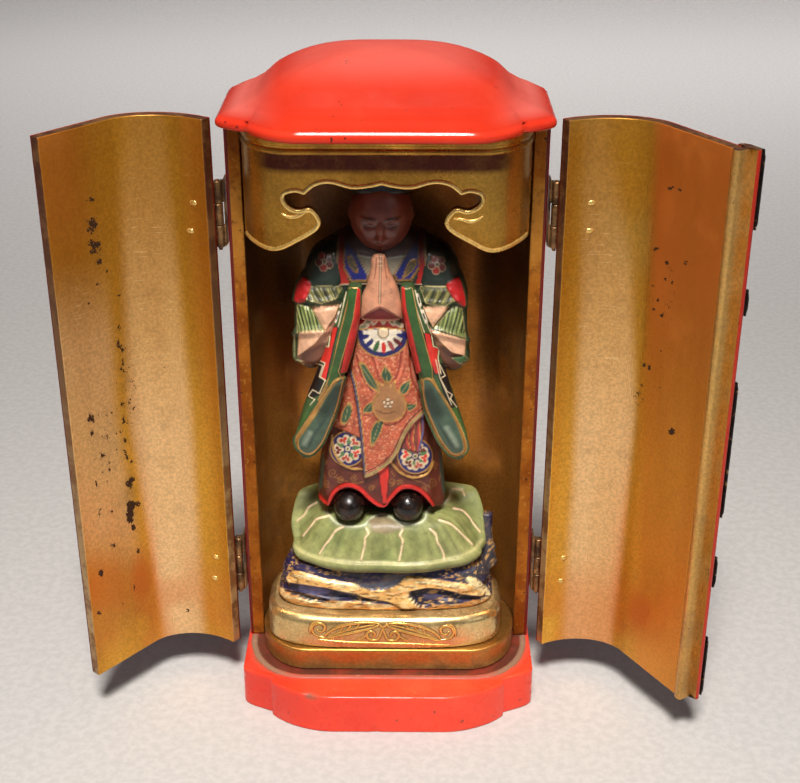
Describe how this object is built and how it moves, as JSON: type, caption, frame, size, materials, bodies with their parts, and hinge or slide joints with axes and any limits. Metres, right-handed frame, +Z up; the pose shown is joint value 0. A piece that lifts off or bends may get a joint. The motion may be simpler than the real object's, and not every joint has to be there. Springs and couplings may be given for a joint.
{
  "type": "household altar cabinet",
  "caption": "Small lacquered altar cabinet with domed roof, curved hinged doors, gilt niche and a carved standing figure on leaf and rock.",
  "frame": {"origin": "middle of the underside of the base", "axes": "+Z up, front and open doors towards -Y, +X to the viewer's right"},
  "size_m": [0.1696, 0.0578, 0.1844],
  "materials": {
    "red_lacquer": "glossy vermilion lacquer with small dark specks and worn edges",
    "aged_gilding": "aged gold leaf on wood inside, red lacquer outside, rubbed and spotted",
    "hinge_brass": "darkened brass",
    "dark_fitting": "dark patinated sheet metal",
    "painted_rock": "blue and dark paint over gilt ridges",
    "painted_leaf": "matt green paint with cream veins",
    "painted_carving": "painted and gilt wood carving"
  },
  "bodies": {
    "cabinet": {"base": "red_lacquer", "case_shell": "aged_gilding", "roof": "red_lacquer", "valance": "aged_gilding", "inner_floor": "aged_gilding", "plinth": "aged_gilding", "rock": "painted_rock", "leaf": "painted_leaf", "figure": "painted_carving", "hinge_left_upper_fixed": "hinge_brass", "hinge_left_upper_pin": "hinge_brass", "hinge_left_lower_fixed": "hinge_brass", "hinge_left_lower_pin": "hinge_brass", "hinge_right_upper_fixed": "hinge_brass", "hinge_right_upper_pin": "hinge_brass", "hinge_right_lower_fixed": "hinge_brass", "hinge_right_lower_pin": "hinge_brass"},
    "left_door": {"door_left": "aged_gilding", "hinge_left_upper_moving": "hinge_brass", "hinge_left_lower_moving": "hinge_brass"},
    "right_door": {"door_right": "aged_gilding", "closing_strip": "red_lacquer", "fitting_top": "dark_fitting", "fitting_upper": "dark_fitting", "fitting_middle": "dark_fitting", "fitting_lower": "dark_fitting", "fitting_bottom": "dark_fitting", "hinge_right_upper_moving": "hinge_brass", "hinge_right_lower_moving": "hinge_brass"}
  },
  "joints": [
    {"name": "left_door_hinge", "type": "hinge", "parent": "cabinet", "child": "left_door", "pos_m": [-0.0424, -0.0003, 0], "axis": [0, 0, 1], "range_deg": [-42, 129.5]},
    {"name": "right_door_hinge", "type": "hinge", "parent": "cabinet", "child": "right_door", "pos_m": [0.0424, -0.0003, 0], "axis": [0, 0, 1], "range_deg": [-122, 50]}
  ]
}
